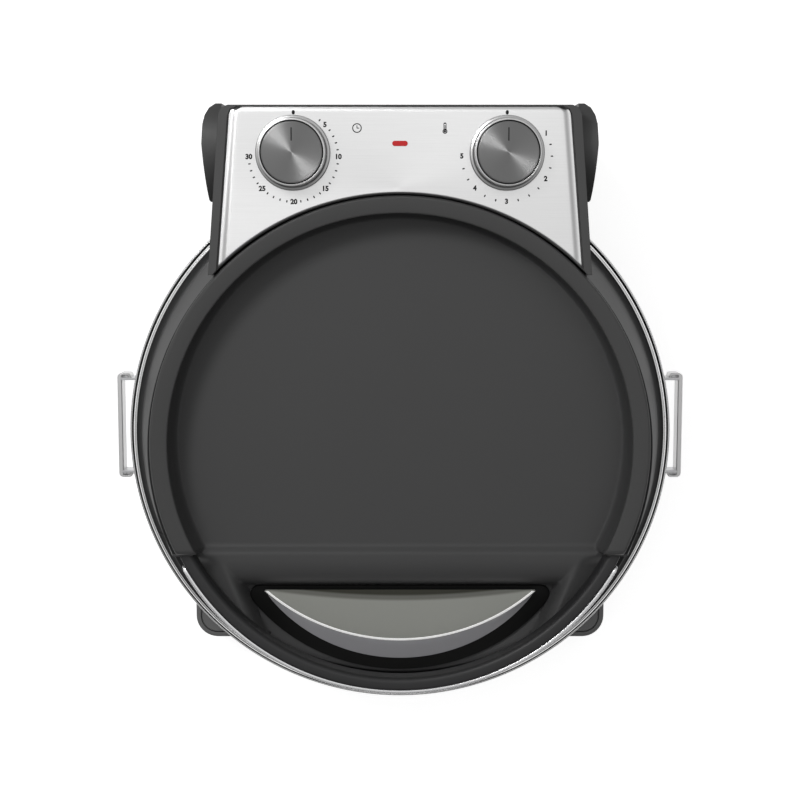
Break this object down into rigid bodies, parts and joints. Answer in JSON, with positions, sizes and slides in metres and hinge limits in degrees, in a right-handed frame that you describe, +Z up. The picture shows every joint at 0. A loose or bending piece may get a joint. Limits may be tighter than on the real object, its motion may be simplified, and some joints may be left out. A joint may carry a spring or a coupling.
{
  "type": "electric pizza maker",
  "caption": "Round countertop pizza maker: low bowl on legs with a baking stone, hinged drum lid with a front window and grip bar, and a rear control housing with two knobs.",
  "frame": {"origin": "centre of the footprint box on the table, at the bottom of the foot pads", "axes": "+X to the right seen from the front, -Y towards the front grip and window, +Y towards the control housing and hinge, +Z up"},
  "size_m": [0.392, 0.4065, 0.1927],
  "materials": {
    "bowl_enamel": "dark grey heat-proof paint, satin",
    "steel_trim": "rolled steel, satin",
    "steel_plain": "plain sheet steel",
    "zinc_screws": "zinc plated",
    "leg_plastic": "grey moulded plastic, fine grain",
    "pad_rubber": "black rubber, matt",
    "reflector_sheet": "bright aluminised sheet",
    "element_sheath": "oxidised steel sheath, matt",
    "ceramic_parts": "unglazed ceramic",
    "stone": "fired cordierite, matt",
    "housing_plastic": "dark grey moulded plastic, satin",
    "chrome_parts": "chrome plated",
    "lid_paint": "charcoal heat-proof paint, satin",
    "crown_plastic": "charcoal moulded plastic, satin",
    "window_glass": "smoked glass, polished",
    "gasket_rubber": "black silicone rubber",
    "handle_plastic": "black moulded plastic, satin",
    "panel_steel": "stainless steel, brushed side to side",
    "bush_brass": "sintered bronze, plain",
    "switch_plastic": "ivory moulded plastic",
    "copper_parts": "bare copper",
    "lens_red": "translucent red, polished",
    "lamp_glow": "neon lamp glass",
    "spun_aluminium": "spun, fine concentric lines"
  },
  "bodies": {
    "base": {"base_shell": "bowl_enamel", "base_rim_ring": "steel_trim", "bottom_plate": "steel_plain", "bottom_plate_screws": "zinc_screws", "leg_front_left": "leg_plastic", "leg_front_right": "leg_plastic", "leg_rear_left": "leg_plastic", "leg_rear_right": "leg_plastic", "foot_pads": "pad_rubber", "leg_screws": "zinc_screws", "lower_reflector": "reflector_sheet", "lower_heating_element": "element_sheath", "lower_element_clips": "steel_plain", "thermal_cutout": "ceramic_parts", "terminal_block": "ceramic_parts", "stone_support": "steel_plain", "baking_stone": "stone", "rear_bridge": "housing_plastic", "hinge_cover_left": "housing_plastic", "hinge_cover_right": "housing_plastic", "hinge_pin_left": "steel_plain", "hinge_pin_right": "steel_plain", "cord_gland": "pad_rubber", "side_handle_left": "chrome_parts", "side_handle_right": "chrome_parts", "handle_bracket_left": "steel_plain", "handle_bracket_right": "steel_plain", "handle_rivets": "steel_plain"},
    "lid": {"lid_shell": "lid_paint", "lid_trim_ring": "steel_trim", "crown_ring": "crown_plastic", "lid_reflector": "reflector_sheet", "upper_heating_element": "element_sheath", "upper_element_clips": "steel_plain", "window_glass": "window_glass", "window_gasket": "gasket_rubber", "window_retainer": "steel_plain", "retainer_screws": "zinc_screws", "front_handle": "handle_plastic", "handle_trim_strip": "chrome_parts", "handle_screws": "zinc_screws", "control_housing": "housing_plastic", "housing_cover": "housing_plastic", "housing_cover_screws": "zinc_screws", "housing_mount_screws": "zinc_screws", "control_panel": "panel_steel", "hinge_bush_left": "bush_brass", "hinge_bush_right": "bush_brass", "timer_body": "switch_plastic", "thermostat_body": "switch_plastic", "thermostat_bulb": "copper_parts", "indicator_lens": "lens_red", "indicator_lamp": "lamp_glow"},
    "timer_dial": {"timer_knob": "chrome_parts", "timer_knob_cap": "spun_aluminium", "timer_shaft": "steel_plain"},
    "thermostat_dial": {"thermostat_knob": "chrome_parts", "thermostat_knob_cap": "spun_aluminium", "thermostat_shaft": "steel_plain"}
  },
  "joints": [
    {"name": "lid_hinge", "type": "hinge", "parent": "base", "child": "lid", "pos_m": [0, 0.17375, 0.125], "axis": [-1, 0, 0], "range_deg": [0, 100]},
    {"name": "timer_turn", "type": "hinge", "parent": "lid", "child": "timer_dial", "pos_m": [-0.0663, 0.16925, 0.18], "axis": [0, 0, -1], "range_deg": [0, 270]},
    {"name": "thermostat_turn", "type": "hinge", "parent": "lid", "child": "thermostat_dial", "pos_m": [0.0663, 0.16925, 0.18], "axis": [0, 0, -1], "range_deg": [0, 270]}
  ]
}
